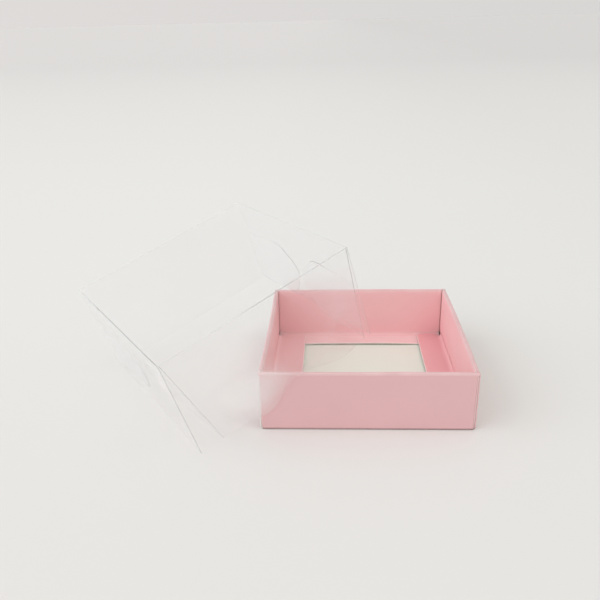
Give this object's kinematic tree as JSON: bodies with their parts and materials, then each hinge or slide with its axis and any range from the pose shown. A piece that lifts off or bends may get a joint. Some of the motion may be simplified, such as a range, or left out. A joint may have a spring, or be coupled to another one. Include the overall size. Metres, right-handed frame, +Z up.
{
  "type": "presentation box with clear lid",
  "caption": "Square folded card tray with double walls, rim folds and floor flaps, and a deep clear film lid with rounded tabs leaning on its rim",
  "frame": {"origin": "centre of the tray's square base, on the surface that it stands on", "axes": "+Z up, the tray's front wall faces -Y and its right wall faces +X; the lid leans on the tray's left side"},
  "size_m": [0.1983, 0.1493, 0.0798],
  "materials": {
    "card_pink": "smooth matt pink face of folding box card",
    "card_inside": "uncoated off-white inner face of the same card",
    "clear_film": "clear glossy film, creased at the folds"
  },
  "bodies": {
    "tray": {"tray_floor": "card_inside", "tray_wall_front": "card_pink", "tray_wall_back": "card_pink", "tray_wall_left": "card_pink", "tray_wall_right": "card_pink", "inner_wall_front": "card_pink", "inner_wall_back": "card_pink", "floor_flap_front": "card_pink", "floor_flap_back": "card_pink", "corner_tab_front_left": "card_pink", "corner_tab_front_right": "card_pink", "corner_tab_back_left": "card_pink", "corner_tab_back_right": "card_pink"},
    "left_wall": {"inner_wall_left": "card_pink"},
    "left_flap": {"floor_flap_left": "card_pink"},
    "right_wall": {"inner_wall_right": "card_pink"},
    "right_flap": {"floor_flap_right": "card_pink"},
    "lid": {"lid_top": "clear_film", "lid_wall_front_left": "clear_film", "lid_wall_front_right": "clear_film", "lid_wall_back_left": "clear_film", "lid_wall_back_right": "clear_film", "lid_tab_left": "clear_film", "lid_tab_back": "clear_film", "lid_tab_right": "clear_film", "lid_tab_front": "clear_film"}
  },
  "joints": [
    {"name": "lid_lift", "type": "slide", "parent": "tray", "child": "lid", "axis": [0, 0, 1], "range_m": [0, 0.09]},
    {"name": "left_wall_fold", "type": "hinge", "parent": "tray", "child": "left_wall", "pos_m": [-0.04775, 0, 0.02935], "axis": [0, -1, 0], "range_deg": [0, 50]},
    {"name": "left_flap_fold", "type": "hinge", "parent": "left_wall", "child": "left_flap", "pos_m": [-0.04815, 0, 0.00225], "axis": [0, 1, 0], "range_deg": [0, 25]},
    {"name": "right_wall_fold", "type": "hinge", "parent": "tray", "child": "right_wall", "pos_m": [0.04775, 0, 0.02935], "axis": [0, 1, 0], "range_deg": [0, 180]},
    {"name": "right_flap_fold", "type": "hinge", "parent": "right_wall", "child": "right_flap", "pos_m": [0.04815, 0, 0.00225], "axis": [0, -1, 0], "range_deg": [0, 90]}
  ],
  "couplings": [
    {"joint": "left_flap_fold", "follows": "left_wall_fold", "ratio": 0.5},
    {"joint": "right_flap_fold", "follows": "right_wall_fold", "ratio": 0.5}
  ]
}
